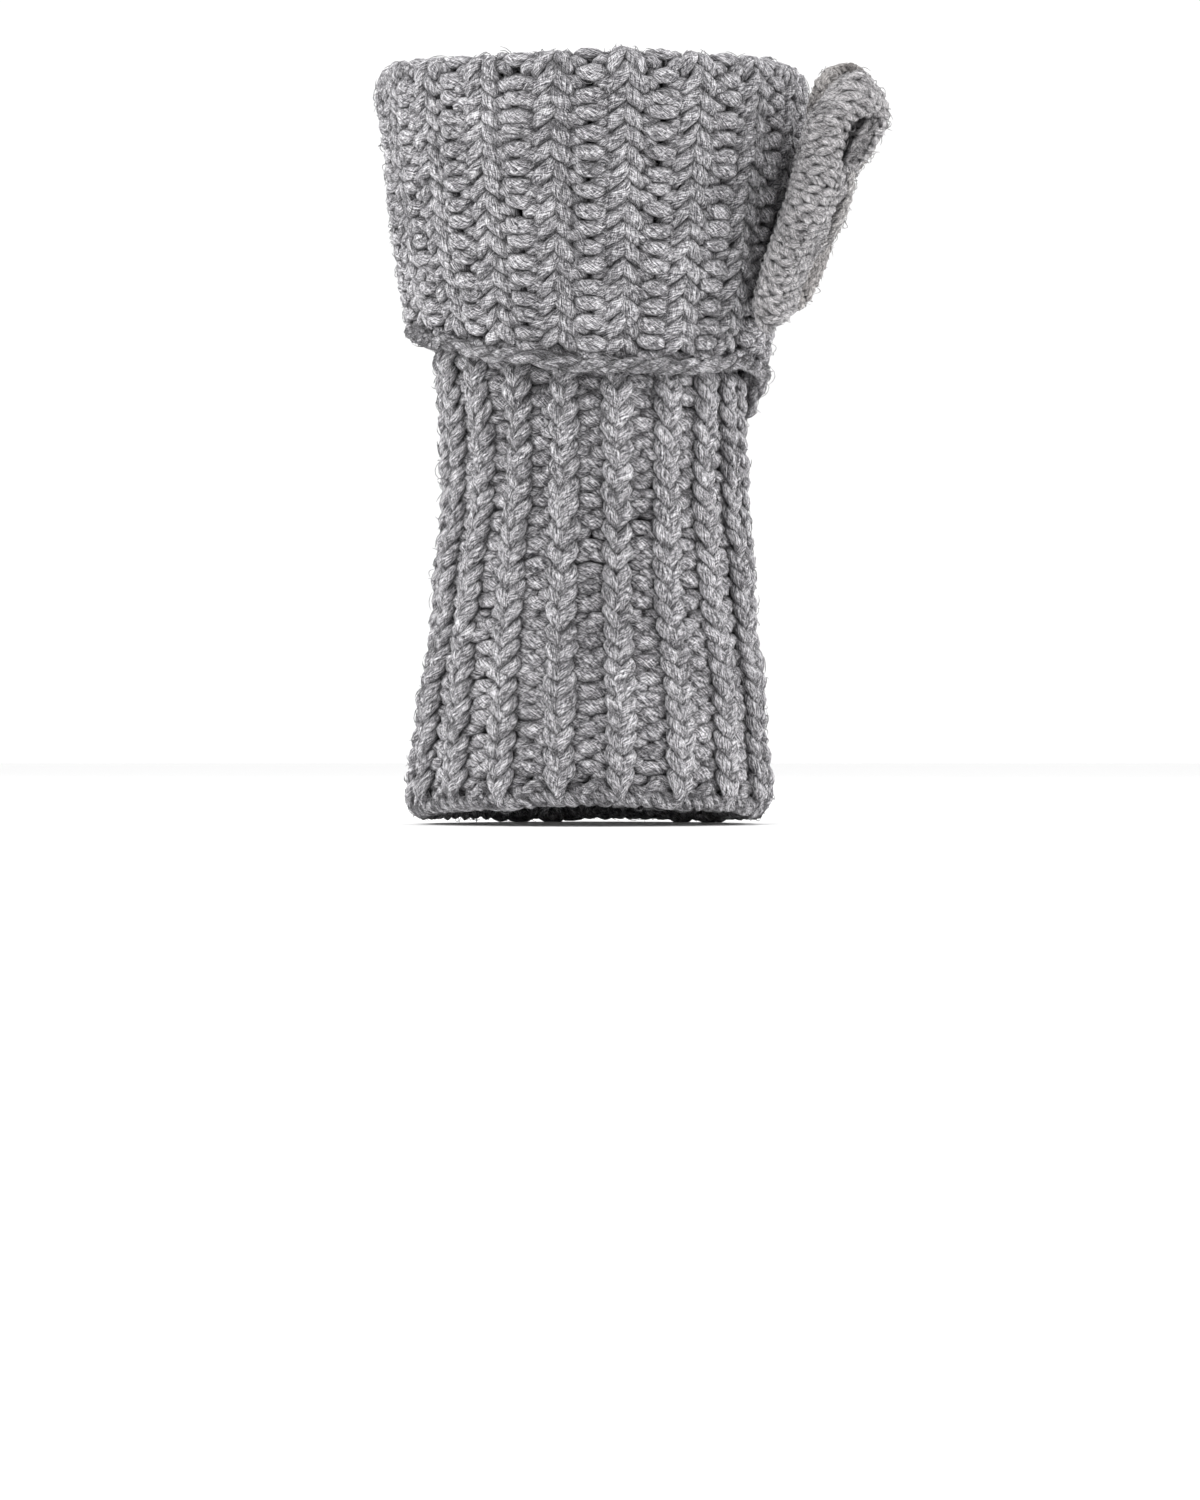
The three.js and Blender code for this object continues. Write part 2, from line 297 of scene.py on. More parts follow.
# ---- meshes of yarn ----------------------------------------------------------------------
def sweep(points, normals, radius, sides, closed, lumps=0, plies=0):
    """Tubes round strands: arrays of shape (strands, points, 3) give vertices and quads."""
    strands, count = points.shape[:2]
    if closed:
        tangent = np.roll(points, -1, 1) - np.roll(points, 1, 1)
    else:
        tangent = np.gradient(points, axis=1)
    tangent /= np.linalg.norm(tangent, axis=2, keepdims=True)
    across = np.cross(tangent, normals)
    across /= np.linalg.norm(across, axis=2, keepdims=True)
    up = np.cross(across, tangent)
    angle = np.arange(sides) / sides * TAU
    ring = up[:, :, None] * (np.cos(angle) / FLAT)[:, None]
    ring = ring + across[:, :, None] * (np.sin(angle) * FLAT)[:, None]
    uneven = 1 + lumps * rng.standard_normal((strands, count, sides, 1))
    step = np.linalg.norm(np.diff(points, axis=1), axis=2)
    length = np.concatenate([np.zeros((strands, 1)), np.cumsum(step, 1)], 1)
    twist = 2 * angle[None, None, :] - length[:, :, None] / radius.mean() * 0.85
    uneven = uneven + (plies * np.cos(twist))[..., None]
    verts = points[:, :, None] + ring * radius[:, :, None, None] * uneven
    spans = count if closed else count - 1
    s, i, k = np.meshgrid(np.arange(strands), np.arange(spans), np.arange(sides), indexing="ij")
    j, m = (i + 1) % count, (k + 1) % sides
    base = s * count * sides
    quads = np.stack([base + i * sides + k, base + i * sides + m, base + j * sides + m,
                      base + j * sides + k], -1).reshape(-1, 4)
    ends = length[:, -1] + (np.linalg.norm(points[:, 0] - points[:, -1], axis=1) if closed else 0)
    far = np.where(i + 1 < count, length[s, np.minimum(i + 1, count - 1)], ends[s])
    near = length[s, i]
    around = np.stack([k, k + 1, k + 1, k], -1) / sides
    along = np.stack([near, near, far, far], -1)
    yarn_uv = np.stack([along, around], -1).reshape(-1, 2)
    return verts.reshape(-1, 3), quads, yarn_uv, (strands, spans, sides)


def cell_uv(shape, span):
    """A second map in which every stretch of yarn has a patch of its own, packed in a square."""
    strands, spans, sides = shape
    per = math.ceil(spans / span)
    total = strands * per
    cols = math.ceil(math.sqrt(total))
    s, i, k = np.meshgrid(np.arange(strands), np.arange(spans), np.arange(sides), indexing="ij")
    cell = s * per + i // span
    left, low = (cell % cols) / cols, (cell // cols) / cols
    a, b = (i % span) / span, (i % span + 1) / span
    c, d = k / sides, (k + 1) / sides
    margin = 0.06
    grow = (1 - 2 * margin) / cols
    x = np.stack([a, a, b, b], -1) * grow + (left + margin / cols)[..., None]
    y = np.stack([c, d, d, c], -1) * grow + (low + margin / cols)[..., None]
    return np.stack([x, y], -1).reshape(-1, 2)


def write_mesh(name, verts, quads, yarn_uv, bake_uv, material):
    """An object of quads with its two maps and one material."""
    mesh = bpy.data.meshes.new(name)
    mesh.vertices.add(len(verts))
    mesh.vertices.foreach_set("co", (verts * MM).astype(np.float32).ravel())
    mesh.loops.add(quads.size)
    mesh.loops.foreach_set("vertex_index", quads.astype(np.int32).ravel())
    mesh.polygons.add(len(quads))
    mesh.polygons.foreach_set("loop_start", (np.arange(len(quads)) * 4).astype(np.int32))
    mesh.update(calc_edges=True)
    mesh.shade_smooth()
    yarn = mesh.uv_layers.new(name="Yarn")
    yarn.data.foreach_set("uv", yarn_uv.astype(np.float32).ravel())
    bake = mesh.uv_layers.new(name="OFBake")
    bake.data.foreach_set("uv", bake_uv.astype(np.float32).ravel())
    mesh.materials.append(material)
    piece = bpy.data.objects.new(name, mesh)
    bpy.context.scene.collection.objects.link(piece)
    return piece


def fibre_strands(points, normals, radius, each):
    """Loose fibres that stand off the yarn: thin arcs, and the strand point each one grows from."""
    strands, count = points.shape[:2]
    total = strands * each
    k = np.repeat(np.arange(strands), each)
    i = rng.integers(1, count - 1, total)
    tangent = points[k, i + 1] - points[k, i - 1]
    tangent /= np.linalg.norm(tangent, axis=1, keepdims=True)
    across = np.cross(tangent, normals[k, i])
    across /= np.linalg.norm(across, axis=1, keepdims=True)
    up = np.cross(across, tangent)
    a = rng.uniform(-math.pi, math.pi, total)[:, None]
    out = up * np.cos(a) + across * np.sin(a)
    slant = rng.normal(0, 0.65, total)[:, None]
    way = tangent * np.cos(slant) + np.cross(tangent, out) * np.sin(slant)
    length = rng.uniform(FIBRE_LENGTH[0], FIBRE_LENGTH[1], total)[:, None, None]
    lift = rng.exponential(0.3, total).clip(0.08, 1.5)[:, None, None]
    t = np.linspace(-0.5, 0.5, 5)[None, :, None]
    root = points[k, i] + out * radius[k, i][:, None] * 0.97
    arc = root[:, None] + way[:, None] * length * t
    arc = arc + out[:, None] * (lift * (1 - 4 * t * t) - 0.06 * length * 4 * t * t)
    bend = rng.normal(0, 0.35, total)[:, None, None] * t * t * length
    arc = arc + np.cross(way, out)[:, None] * bend
    thick = np.tile(FIBRE * np.array([0.4, 0.9, 1.0, 0.9, 0.4]), (total, 1))
    return arc, np.repeat(out[:, None], 5, 1), thick, k * count + i


def yarn_piece(name, strands, material, sides=SIDES, closed=False, span=SAMPLES, lumps=0.05,
               fibres=0):
    """One piece from (points, normals, radius) strands of equal length, with loose fibres.

    Also gives, for every vertex, the strand point that it belongs to.
    """
    points = np.stack([s[0] for s in strands])
    normals = np.stack([s[1] for s in strands])
    radius = np.stack([s[2] for s in strands])
    count = points.shape[1]
    verts, quads, yarn_uv, shape = sweep(points, normals, radius, sides, closed, lumps, PLIES)
    start = np.repeat(rng.uniform(0, 400, len(strands)), quads.shape[0] // len(strands) * 4)
    yarn_uv[:, 0] += start
    bake_uv = cell_uv(shape, span)
    source = np.repeat(np.arange(len(strands) * count), sides)

    def join(more_verts, more_quads, more_yarn, more_source):
        nonlocal verts, quads, yarn_uv, bake_uv, source
        more_quads = np.asarray(more_quads).reshape(-1, 4)
        corner = np.tile(np.array([[0, 0], [1, 0], [1, 1], [0, 1]]) * 0.0005, (len(more_quads), 1))
        quads = np.concatenate([quads, more_quads + len(verts)])
        verts = np.concatenate([verts, more_verts])
        yarn_uv = np.concatenate([yarn_uv, more_yarn])
        bake_uv = np.concatenate([bake_uv, corner + 0.0005])
        source = np.concatenate([source, more_source])

    if not closed:
        # Close each end with a flat fan of quads round a middle vertex.
        for k in range(len(strands)):
            for at, turn in ((0, 1), (count - 1, -1)):
                first = (k * count + at) * sides
                rim = verts[first:first + sides]
                fan = [(sides, (m + 2) % sides, m + 1, m) for m in range(0, sides, 2)]
                fan = fan if turn > 0 else [quad[::-1] for quad in fan]
                cap = np.concatenate([rim, rim.mean(0, keepdims=True)])
                join(cap, fan, np.full((len(fan) * 4, 2), 3.0), np.full(sides + 1, k * count + at))
    if fibres:
        arc, out, thick, root = fibre_strands(points, normals, radius, fibres)
        more_verts, more_quads, more_yarn, _ = sweep(arc, out, thick, 3, False)
        more_yarn[:, 0] += np.repeat(rng.uniform(0, 400, len(arc)), 4 * 3 * 4)
        join(more_verts, more_quads, more_yarn, np.repeat(root, 5 * 3))
    return write_mesh(name, verts, quads, yarn_uv, bake_uv, material), source


# ---- materials ---------------------------------------------------------------------------
class Nodes:
    """Short hand for building a node material."""

    def __init__(self, name):
        self.material = bpy.data.materials.new(name)
        self.material.use_nodes = True
        self.tree = self.material.node_tree
        self.tree.nodes.clear()

    def add(self, kind, inputs=None, **settings):
        node = self.tree.nodes.new(kind)
        for key, value in settings.items():
            setattr(node, key, value)
        for key, value in (inputs or {}).items():
            socket = node.inputs[key]
            if isinstance(value, bpy.types.NodeSocket):
                self.tree.links.new(value, socket)
            else:
                socket.default_value = value
        return node

    def math(self, operation, a, b=0.0, c=0.0):
        return self.add("ShaderNodeMath", {0: a, 1: b, 2: c}, operation=operation).outputs[0]


def wool(name, dark, mid, light, pitch, scale, fuzz):
    """Heathered yarn: fine fibres that wind round it, in mixed greys, with a soft sheen."""
    n = Nodes(name)
    uv = n.add("ShaderNodeUVMap", uv_map="Yarn").outputs[0]
    parts = n.add("ShaderNodeSeparateXYZ", {0: uv})
    along, around = parts.outputs[0], parts.outputs[1]

    def fibres(pitch, stretch, girth, size, detail, rough):
        turn = n.math("MULTIPLY", n.math("MULTIPLY_ADD", along, -1 / pitch, around), TAU)
        place = n.add("ShaderNodeCombineXYZ", {
            0: n.math("MULTIPLY", along, stretch),
            1: n.math("MULTIPLY", n.math("COSINE", turn), girth),
            2: n.math("MULTIPLY", n.math("SINE", turn), girth)}).outputs[0]
        return n.add("ShaderNodeTexNoise", {"Vector": place, "Scale": size, "Detail": detail,
                                            "Roughness": rough}).outputs[0]

    strands = fibres(pitch, 0.34 * scale, 3.1 * scale, 2.0, 3.0, 0.65)
    crossing = fibres(-1.6 * pitch, 0.5 * scale, 3.7 * scale, 2.3, 2.0, 0.6)
    tuft = fibres(pitch, 0.25 * scale, 1.0 * scale, 1.2, 2.0, 0.55)
    place = n.add("ShaderNodeTexCoord").outputs["Object"]
    cloud = n.add("ShaderNodeTexNoise", {"Vector": place, "Scale": 45.0, "Detail": 2.0}).outputs[0]
    fine = n.math("MULTIPLY_ADD", n.math("SUBTRACT", crossing, 0.5), 0.65, strands)
    tone = n.math("MULTIPLY_ADD", n.math("SUBTRACT", tuft, 0.5), 0.2, fine)
    tone = n.math("MULTIPLY_ADD", n.math("SUBTRACT", cloud, 0.5), 0.1, tone)
    ramp = n.add("ShaderNodeValToRGB", {0: tone})
    stops = ramp.color_ramp.elements
    stops[0].position, stops[0].color = 0.36, (*dark, 1)
    stops[1].position, stops[1].color = 0.65, (*light, 1)
    middle = stops.new(0.50)
    middle.color = (*mid, 1)
    # Painted shade: ambient occlusion within 2.6 mm darkens the base colour in the crevices between
    # yarns.
    painted_crevice_shade = n.add("ShaderNodeAmbientOcclusion", {"Distance": 0.0026}, samples=4).outputs["AO"]
    painted_shade_factor = n.math("MULTIPLY_ADD", n.math("POWER", painted_crevice_shade, 1.3), 1.0, 0.19)
    shade = n.add("ShaderNodeVectorMath", {0: ramp.outputs[0], 1: painted_shade_factor}, operation="MULTIPLY")
    bump = n.add("ShaderNodeBump", {"Height": fine, "Strength": 0.9, "Distance": 0.0006 / scale})
    shader = n.add("ShaderNodeBsdfPrincipled", {
        "Base Color": shade.outputs[0], "Roughness": 0.9, "Specular IOR Level": 0.15,
        "Sheen Weight": fuzz, "Sheen Roughness": 0.5, "Sheen Tint": (0.85, 0.85, 0.87, 1),
        "Normal": bump.outputs[0]})
    n.add("ShaderNodeOutputMaterial", {0: shader.outputs[0]})
    return n.material


RIB_WOOL = wool("rib_wool", (0.035, 0.034, 0.038), (0.235, 0.228, 0.24), (0.74, 0.73, 0.75),
                14.0, 1.0, 0.25)
BOW_WOOL = wool("bow_wool", (0.045, 0.043, 0.044), (0.265, 0.256, 0.26), (0.76, 0.74, 0.75),
                8.0, 1.35, 0.3)
# A lighter, warmer copy of the bow's wool for the knot's wrap: painted light.
KNOT_WOOL_PAINTED_LIGHT = wool("bow_wool_painted_light", (0.055, 0.052, 0.051), (0.31, 0.297, 0.292), (0.82, 0.8, 0.79),
                 8.0, 1.35, 0.3)
# A darker, warmer copy of the bow's wool for the rear loop: painted shade, tinted with painted warm
# reflected light.
BOW_WOOL_PAINTED_SHADE = wool("bow_wool_painted_shade", (0.043, 0.04, 0.038), (0.235, 0.218, 0.21), (0.7, 0.67, 0.655),
                8.0, 1.35, 0.3)
THREAD = wool("sewing_yarn", (0.06, 0.06, 0.064), (0.18, 0.18, 0.19), (0.38, 0.38, 0.39),
              4.0, 2.2, 0.2)


# ---- the leg tube ------------------------------------------------------------------------
def make_leg_tube():
    """The tube and its fold, as six bands of courses."""
    u = np.arange(WALES * SAMPLES) / SAMPLES
    first_rows = [0, 7, 13, 19, 25, 31, TUBE_ROWS]
    for band, (first, last) in enumerate(zip(first_rows, first_rows[1:])):
        strands = [knit_row(row, u)[:3] for row in range(first, last)]
        piece, _ = yarn_piece(f"leg_knit_{band + 1}", strands, RIB_WOOL, closed=True,
                              fibres=WALES * FIBRES_A_STITCH)
        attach(piece, "leg")
        if band == 0:
            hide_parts("leg_tube")
        if last == TUBE_ROWS:
            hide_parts("fold_roll")


def make_cast_on_edge():
    """Two strands twisted along the bottom edge and a row of small loops that close over them."""
    phi = np.arange(WALES * SAMPLES) / (WALES * SAMPLES) * TAU
    strands = []
    for side in (0, math.pi):
        swing = WALES * phi + side
        point, normal = surface(2.3 + 1.0 * np.cos(swing), phi, 1.0 * np.sin(swing))
        strands.append((point, normal, np.full(len(phi), YARN * 0.85)))
    swing = WALES * phi
    point, normal = surface(4.6 + 1.1 * np.sin(swing), phi, 1.2 * np.cos(swing / 2))
    strands.append((point, normal, np.full(len(phi), YARN * 0.9)))
    piece, _ = yarn_piece("cast_on_rope", strands, RIB_WOOL, closed=True,
                          fibres=WALES * FIBRES_A_STITCH)
    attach(piece, "leg")
    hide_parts("cast_on_edge")


def make_back_seam():
    """Ladder stitches that join the tube's edges, a ridge on its inside."""
    s = np.linspace(6, 192, 420)
    strands = []
    for side in (-1, 1):
        sway = side * np.cos(s / TUBE_ROW * TAU) * 1.3
        phi = math.pi + sway / np.interp(s, PROF_S, PROF_R)
        point, normal = surface(s, phi, -3.7 - 0.6 * np.sin(s / TUBE_ROW * TAU * side))
        strands.append((point, normal, np.full(len(s), 1.0)))
    piece, _ = yarn_piece("seam_stitches", strands, RIB_WOOL)
    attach(piece, "leg")
    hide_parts("back_seam")


def make_yarn_end():
    """The cut end of the cast-on yarn, woven up the inside."""
    lo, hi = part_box("woven_in_yarn_end")
    s = np.linspace(lo.z / MM + 1, hi.z / MM - 1, 60)
    across = math.atan2((lo.x + hi.x) / 2 / MM - AXIS_X, -(lo.y + hi.y) / 2 / MM)
    phi = across + 0.05 * np.sin(s / 3.1)
    point, normal = surface(s, phi, np.full(len(s), -3.4))
    strand = (point, normal, np.full(len(s), 1.2))
    piece, _ = yarn_piece("yarn_end", [strand], RIB_WOOL, fibres=20)
    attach(piece, "leg")
    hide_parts("woven_in_yarn_end")


# ---- the fold-over -----------------------------------------------------------------------
def cuff_strands(first_u):
    """The courses of one rib, two wales wide, and how far along the fabric each point is."""
    u = np.linspace(first_u - 0.07, first_u + 2.07, 2 * SAMPLES + 3)
    strands, travel = [], []
    for row in range(TUBE_ROWS, ROWS):
        point, normal, plump, s = knit_row(row, u)
        plump[0] *= 0.94
        plump[-1] *= 0.94
        strands.append((point, normal, plump))
        travel.append(s)
    return strands, travel


def bind_off_strands(first_u):
    """Two strands twisted into a cord along the fold-over's edge, a little proud of it.

    A third strand behind them closes the last row of loops.
    """
    u = np.linspace(first_u - 0.05, first_u + 2.05, 2 * SAMPLES + 3)
    edge = APEX + CUFF_NOMINAL + 1.0
    phi = wale_angle(u, np.full(len(u), edge))
    strands = []
    for side in (0, math.pi):
        swing = 18 * phi + side
        point, normal = surface(edge + 0.9 * np.sin(swing), phi, 0.9 * np.cos(swing) - 1.7)
        strands.append((point, normal, np.full(len(u), 1.35)))
    point, normal = surface(edge - 2.6 + 0.8 * np.sin(36 * phi), phi, 0.9 + 0.5 * np.cos(18 * phi))
    strands.append((point, normal, np.full(len(u), 1.5)))
    return strands


def make_cuff_panel(index):
    """One rib of the fold-over, from the top of the fold to the bound-off edge."""
    number = f"{index + 1:02d}"
    middle = 90 + 360 / PANELS * index
    first_u = (middle - 5) / WALE_TURN
    strands, travel = cuff_strands(first_u)
    rope = bind_off_strands(first_u)
    piece, source = yarn_piece("cuff_knit_" + number, strands + rope, RIB_WOOL,
                               fibres=2 * FIBRES_A_STITCH)
    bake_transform(piece)
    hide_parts("cuff_rib_" + number)


# ---- the bow -----------------------------------------------------------------------------
front_root = np.array(JOINTS["bow_front_flex"]["pos_m"]) / MM
rear_root = np.array(JOINTS["bow_rear_flex"]["pos_m"]) / MM
BOW_AT = np.array(JOINTS["bow_swivel"]["pos_m"]) / MM
BOW_Y = (rear_root - front_root) / np.linalg.norm(rear_root - front_root)
BOW_Z = np.array(JOINTS["bow_front_flex"]["axis"])
BOW_X = np.cross(BOW_Y, BOW_Z)

BOW_YARN = 1.15       # radius of the bow's yarn
BOW_STITCH = 5.2      # width of a stitch, up the strip
BOW_ROW = 3.3         # spacing of the rows, along the strip
BOW_RISE = 3.2        # half the height of a loop, along the strip
BOW_DEPTH = 1.15      # how far a loop weaves to each side of the strip's middle
BOW_LEAN = 0.24       # how far a loop's legs lean, in stitches
BOW_SAMPLES = 16      # points of a stitch


def bow_space(x, y, z):
    """Points from the knot's middle: x out from the leg, y along the bow, z up."""
    return BOW_AT + x[..., None] * BOW_X + y[..., None] * BOW_Y + z[..., None] * BOW_Z


class Loop:
    """One loop of the bow: where its fabric lies, by distance round the loop and height.

    side: -1 towards the front, 1 towards the back. reach: length from the knot. fullness: half
    the loop's thickness. turn and droop: its lean towards the leg. bottom: depth below the knot.
    tuck: how far the lower edge curls out. tops: heights of the back layer, the fold and the
    outer layer. splay: how the top opens, as widening, outward shift, start and end height.
    pleat: size of the ridge and of the pleat beside the fold.
    """

    def __init__(self, side, reach, fullness, turn, droop, bottom, tuck, tops, splay, pleat):
        self.side, self.reach, self.fullness = side, reach, fullness
        self.turn, self.droop, self.bottom, self.tuck = turn, droop, bottom, tuck
        self.top_back, self.top, self.top_front = tops
        self.splay_width, self.splay_out, self.splay_low, self.splay_high = splay
        self.ridge, self.pleat = pleat
        t = np.linspace(0, TAU, 1500)
        along = (1 - np.cos(t)) / 2
        root = 3.0            # where the loop leaves the knot
        self.y = root + (reach - root) * along
        full = 0.3 + 0.7 * smooth(along, 0, 0.8)
        self.x = -full * np.sign(np.sin(t)) * np.abs(np.sin(t)) ** 0.5
        step = np.hypot(np.diff(self.x) * fullness, np.diff(self.y))
        self.round = np.concatenate([[0], np.cumsum(step)])
        self.length = self.round[-1]

    def place(self, d, h, depth):
        """d: distance round the loop from the back of the knot; h: -1 to 1 up its height."""
        face, y = np.interp(d, self.round, self.x), np.interp(d, self.round, self.y)
        step = 0.4
        dx = np.interp(d + step, self.round, self.x) - np.interp(d - step, self.round, self.x)
        dy = np.interp(d + step, self.round, self.y) - np.interp(d - step, self.round, self.y)
        open_ = smooth(y, 1, self.reach * 0.72)
        splay = open_ * smooth(h, self.splay_low, self.splay_high)
        width = self.fullness * (1 + self.splay_width * splay)
        size = np.hypot(dx * width, dy) + 1e-9
        nx, ny = -dy / size, dx * width / size
        tilt = (self.top_front - self.top_back) / 2
        drop = (self.top_front + self.top_back) / 2 - self.top
        top = self.top + tilt * face + drop * face * face
        low = self.bottom * (1 - 0.08 * face * face)
        z = h * np.where(h > 0, top, low) * (0.30 + 0.70 * open_)
        z = z - 1.6 * open_ * (1 - face * face)
        gathers = (1 - open_) * 1.5 * np.sin(h * 9.5 + 0.6 * self.side)
        ripple = 0.5 * open_ * np.sin(h * 3.4 + y * 0.09 * self.side + self.side)
        x = face * width + gathers + ripple + self.splay_out * splay
        x = x - self.droop * smooth(y, 2, 24) + self.tuck * open_ * smooth(-h, 0.55, 1.0)
        # Gathering leaves a ridge on the outer layer, from the knot to the top corner.
        outer = smooth(face, 0, 0.7)
        ridge = np.exp(-((h - 0.78) / 0.17) ** 2) * smooth(y, 4, 20)
        ridge = ridge * (1 - 0.5 * smooth(y, self.reach - 14, self.reach))
        # Under it a pleat opens beside the fold: the fabric goes in, comes forward as a lip, goes on.
        pleat = outer * self.pleat * np.exp(-((h - 0.56) / 0.21) ** 4)
        into = np.exp(-((y - self.reach + 5) / 3.5) ** 2)
        lip = np.exp(-((y - self.reach + 15) / 6) ** 2)
        x = x + outer * self.ridge * ridge + pleat * (5.8 * lip - into)
        x = x - outer * self.pleat * 2.2 * smooth(-h, 0, 0.35)
        y = y + pleat * 9 * (lip - into)
        depth = depth - 2.4 * smooth(np.abs(h), 0.88, 1.06)
        x, y = x + depth * nx, y + depth * ny
        c, s = math.cos(self.turn), math.sin(self.turn)
        x, y = x * c + y * s, y * c - x * s
        point = bow_space(x, self.side * y, z)
        nx, ny = nx * c + ny * s, ny * c - nx * s
        normal = nx[..., None] * BOW_X + (self.side * ny)[..., None] * BOW_Y
        return point, normal


def loop_strands(loop, seed):
    """Rows that run up the strip's width, one after another round the loop."""
    r = np.random.default_rng(seed)
    stitches = round((loop.top + loop.bottom) / BOW_STITCH)
    rows = round(loop.length / BOW_ROW)
    u = np.linspace(0, stitches, stitches * BOW_SAMPLES + 1)
    tau = u - np.floor(u)
    drift = np.interp(u, np.arange(stitches + 1), r.normal(0, 0.35, stitches + 1))
    strands = []
    for row in range(rows):
        shift = np.interp(u, np.arange(stitches + 1), r.normal(0, 0.3, stitches + 1))
        lean = BOW_LEAN * np.sin(2 * TAU * tau)
        d = (row + 0.5) * loop.length / rows - BOW_RISE * np.cos(TAU * tau) + drift + shift
        h = -1 + 2 * (u + lean) / stitches
        depth = -BOW_DEPTH * np.cos(2 * TAU * tau) + 0.6 * shift
        point, normal = loop.place(np.clip(d, 0, loop.length), h, depth)
        radius = BOW_YARN * (1 + 0.07 * np.sin(u * 2.3 + row * 1.7) + 0.15 * shift)
        strands.append((point, normal, radius * (0.72 + 0.28 * smooth(1.04 - np.abs(h), 0, 0.1))))
    return strands


def make_loop(name, node, loop, seed, yarn):
    piece, _ = yarn_piece(name, loop_strands(loop, seed), yarn, span=BOW_SAMPLES, fibres=160)
    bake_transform(piece)
    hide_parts(node)


def make_wrap():
    """The strip round the knot, its ribs of stitches running round and its sides curled under."""
    half_x, half_z, half_y, back = 3.9, 11.0, 8.0, 0.9
    t = np.linspace(0, TAU, 2000)
    ring = np.stack([half_x * np.cos(t), half_z * np.sin(t)], -1)
    around = np.concatenate([[0], np.cumsum(np.linalg.norm(np.diff(ring, axis=0), axis=1))])
    rows = round(around[-1] / BOW_ROW)
    stitches = 7
    u = np.linspace(0, stitches, stitches * BOW_SAMPLES + 1)
    tau = u - np.floor(u)
    strands = []
    for row in range(rows):
        lean = BOW_LEAN * np.sin(2 * TAU * tau)
        across = ((u + lean) / stitches * 2 - 1) * (half_y + 3.0)
        d = (row + 0.5) * around[-1] / rows - BOW_RISE * np.cos(TAU * tau)
        angle = np.interp(d % around[-1], around, t)
        curl = np.clip(np.abs(across) - (half_y - 1.2), 0, None)
        bend = np.minimum(curl / 1.6, math.pi * 0.75)
        y = np.sign(across) * (np.minimum(np.abs(across), half_y - 1.2) + 1.6 * np.sin(bend))
        depth = -BOW_DEPTH * np.cos(2 * TAU * tau) - 1.6 * (1 - np.cos(bend))
        waist = -0.8 * (1 - (y / half_y) ** 2)
        size = 1 + (depth + waist) / 8
        x, z = half_x * np.cos(angle), half_z * np.sin(angle)
        nx, nz = np.cos(angle), np.sin(angle) * 0.55
        length = np.hypot(nx, nz)
        nx, nz = nx / length, nz / length
        point = bow_space(x - back + nx * (depth + waist), y, z + nz * (depth + waist))
        normal = nx[:, None] * BOW_X + nz[:, None] * BOW_Z
        strands.append((point, normal, np.full(len(u), BOW_YARN) * np.clip(size, 0.9, 1.1)))
    # The wrap takes the lighter copy of the bow's wool: painted light.
    piece, _ = yarn_piece("knot_wrap", strands, KNOT_WOOL_PAINTED_LIGHT, span=BOW_SAMPLES, fibres=80)
    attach(piece, "bow_knot")
    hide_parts("bow_knot_wrap")


def make_gathered_middle():
    """The bunched strip inside the wrap, its rows pressed side by side."""
    lo, hi = -8.4, 8.4
    stitches = 6
    u = np.linspace(0, stitches, stitches * 12 + 1)
    strands = []
    bunches = 16
    for k in range(bunches):
        angle = TAU * k / bunches
        x = 1.8 * math.cos(angle) - 0.8 + 0.35 * np.sin(2 * TAU * u / stitches * 3)
        z = 8.6 * math.sin(angle) + 0.5 * np.cos(TAU * u)
        y = lo + (hi - lo) * u / stitches
        point = bow_space(x, y, z)
        normal = np.tile(math.cos(angle) * BOW_X + math.sin(angle) * BOW_Z, (len(u), 1))
        strands.append((point, normal, np.full(len(u), 1.05)))
    piece, _ = yarn_piece("gathered_middle", strands, BOW_WOOL, span=12)
    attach(piece, "bow_knot")
    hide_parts("bow_gathered_middle")


def make_closing_stitches():
    """Slanting stitches that close the wrap at its back."""
    strands = []
    t = np.linspace(-1, 1, 14)
    for k in range(6):
        z = -6 + 2.4 * k + 0.9 * t
        y = 1.7 * t
        x = -6.2 - 0.9 * (1 - t * t)
        strands.append((bow_space(x, y, z), np.tile(-BOW_X, (len(t), 1)), np.full(len(t), 0.45)))
    piece, _ = yarn_piece("closing_stitches", strands, THREAD, sides=6, span=13)
    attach(piece, "bow_knot")
    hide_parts("wrap_closing_stitches")


def make_tack_stitch(side):
    """A doubled stitch from the fold-over to the back of the knot."""
    lo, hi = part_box("tack_stitch_" + side)
    middle = (lo + hi) / 2 / MM
    t = np.linspace(0, math.pi, 24)
    strands = []
    for shift in (-0.5, 0.5):
        y = -4.2 * np.cos(t)
        x = middle.x - 1.6 + 3.4 * np.sin(t) ** 0.6
        z = middle.z + shift + 0.3 * np.sin(2 * t)
        point = np.stack([x, y, z], -1)
        strands.append((point, np.tile([0.0, 0.0, 1.0], (len(t), 1)), np.full(len(t), 0.55)))
    piece, _ = yarn_piece("tack_" + side, strands, THREAD, sides=6, span=23)
    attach(piece, "cuff_panel_01")
    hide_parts("tack_stitch_" + side)


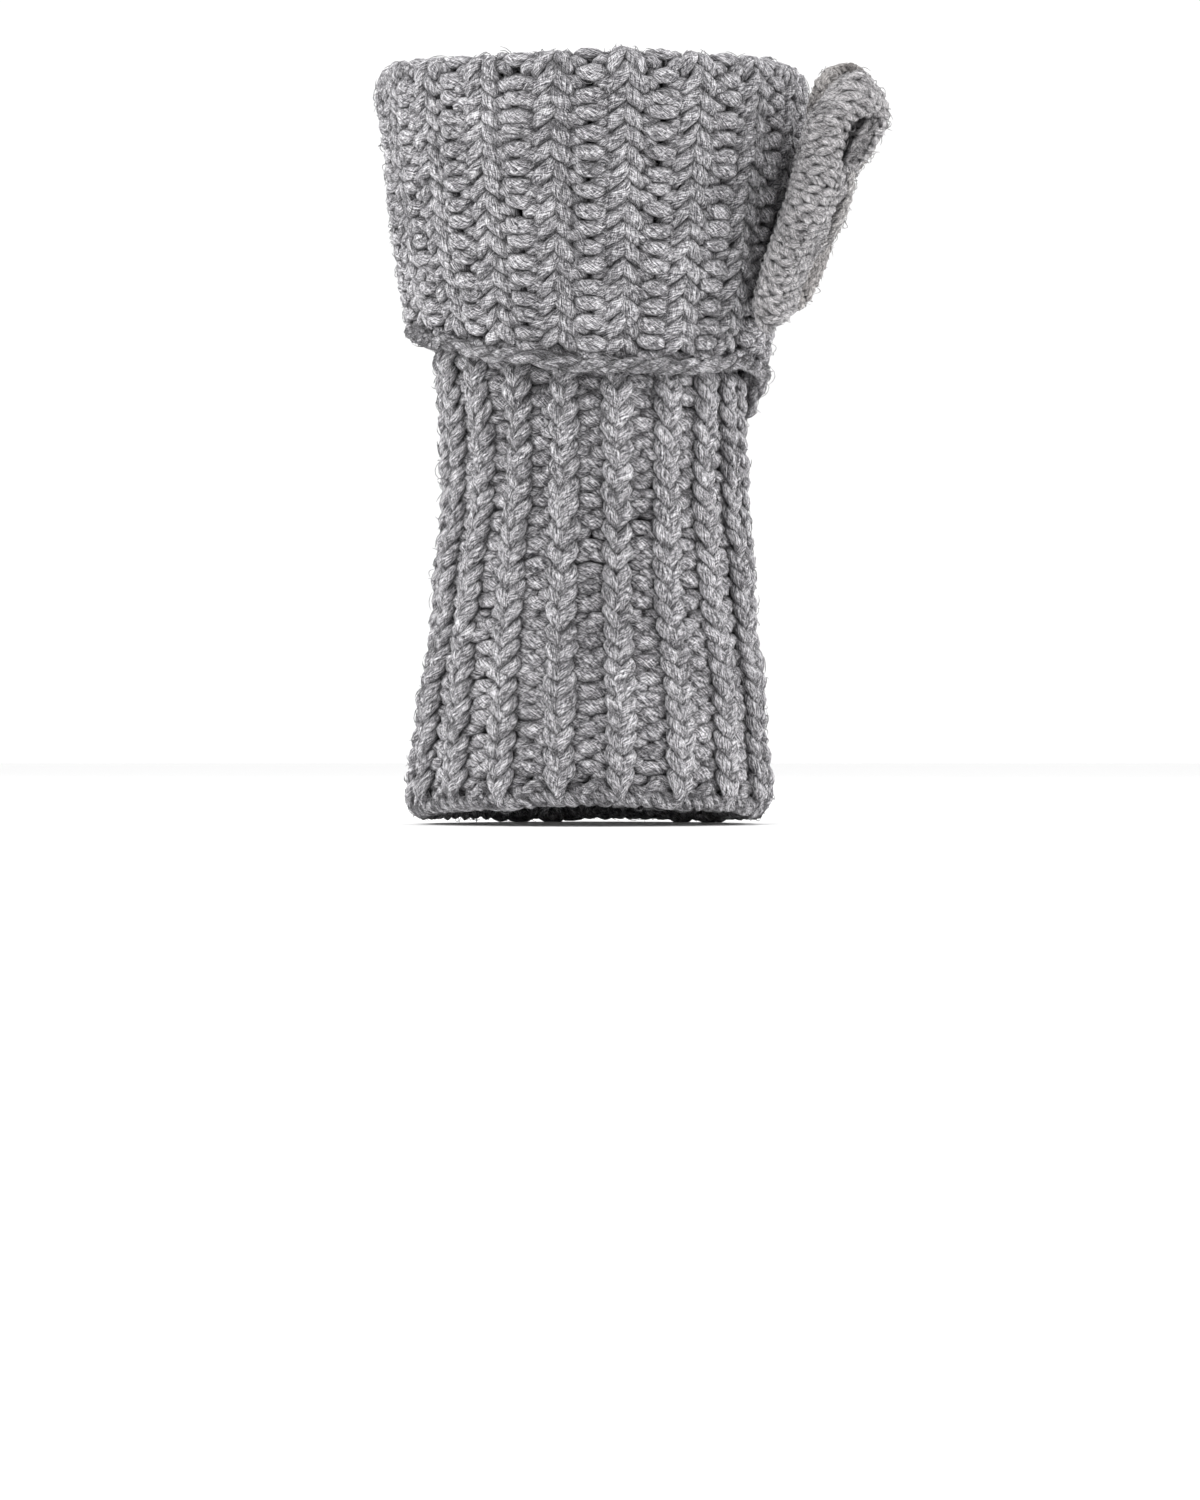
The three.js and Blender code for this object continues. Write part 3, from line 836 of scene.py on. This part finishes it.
# ---- the stage ---------------------------------------------------------------------------
def make_stage():
    """A pale floor, a white surround, soft lights and the camera."""
    bpy.ops.mesh.primitive_plane_add(size=12, location=(0, 0, 0))
    floor = bpy.context.object
    floor.name = "floor"
    n = Nodes("pale_floor")
    shader = n.add("ShaderNodeBsdfPrincipled", {"Base Color": (0.9, 0.9, 0.9, 1), "Roughness": 0.9,
                                                "Specular IOR Level": 0.1})
    n.add("ShaderNodeOutputMaterial", {0: shader.outputs[0]})
    floor.data.materials.append(n.material)
    world = bpy.context.scene.world or bpy.data.worlds.new("studio")
    bpy.context.scene.world = world
    world.use_nodes = True
    back = world.node_tree.nodes["Background"]
    back.inputs[0].default_value = (1, 1, 1, 1)
    back.inputs[1].default_value = 1.06

    def area(name, place, target, size, power):
        light = bpy.data.lights.new(name, "AREA")
        light.shape, light.size, light.energy = "DISK", size, power
        ob = bpy.data.objects.new(name, light)
        ob.location = place
        ob.rotation_euler = (Vector(target) - Vector(place)).to_track_quat("-Z", "Y").to_euler()
        bpy.context.scene.collection.objects.link(ob)

    area("key", (-0.8, -1.2, 1.3), (0, 0, 0.12), 0.7, 13)
    area("right", (1.2, -0.1, 0.45), (0, 0, 0.1), 0.8, 9)
    area("left", (-1.2, 0.1, 0.4), (0, 0, 0.1), 0.8, 6)
    area("back", (0.3, 1.2, 1.2), (0, 0, 0.15), 0.8, 8)

    lens = bpy.data.cameras.new("camera")
    lens.lens, lens.sensor_width = 115.6, 36
    lens.clip_start, lens.clip_end = 0.05, 30
    camera = bpy.data.objects.new("camera", lens)
    camera.location = (AXIS_X * MM + 0.0027, -1.3, 0.020)
    camera.rotation_euler = (math.radians(90), 0, 0)
    bpy.context.scene.collection.objects.link(camera)
    bpy.context.scene.camera = camera
    bpy.context.scene.view_settings.view_transform = "Standard"


make_leg_tube()
make_cast_on_edge()
make_back_seam()
make_yarn_end()
for panel in range(PANELS):
    make_cuff_panel(panel)
near_loop = Loop(side=-1, reach=44.5, fullness=5.1, turn=math.radians(-4), droop=3.9, bottom=35.5,
                 tuck=1.5, tops=(21, 36, 31), splay=(0.4, 2.0, 0.62, 0.85), pleat=(2.6, 1.0))
far_loop = Loop(side=1, reach=44.5, fullness=6.1, turn=math.radians(-3.8), droop=2.2, bottom=33,
                tuck=-0.5, tops=(32, 38.3, 27), splay=(0.6, 0.6, 0.2, 0.6), pleat=(0, 0))
make_loop("front_loop", "bow_front_loop", near_loop, 31, BOW_WOOL)
# The rear loop takes the darker, warmer copy of the bow's wool: painted shade.
make_loop("rear_loop", "bow_rear_loop", far_loop, 32, BOW_WOOL_PAINTED_SHADE)
make_wrap()
make_gathered_middle()
make_closing_stitches()
make_tack_stitch("upper")
make_tack_stitch("lower")
make_stage()
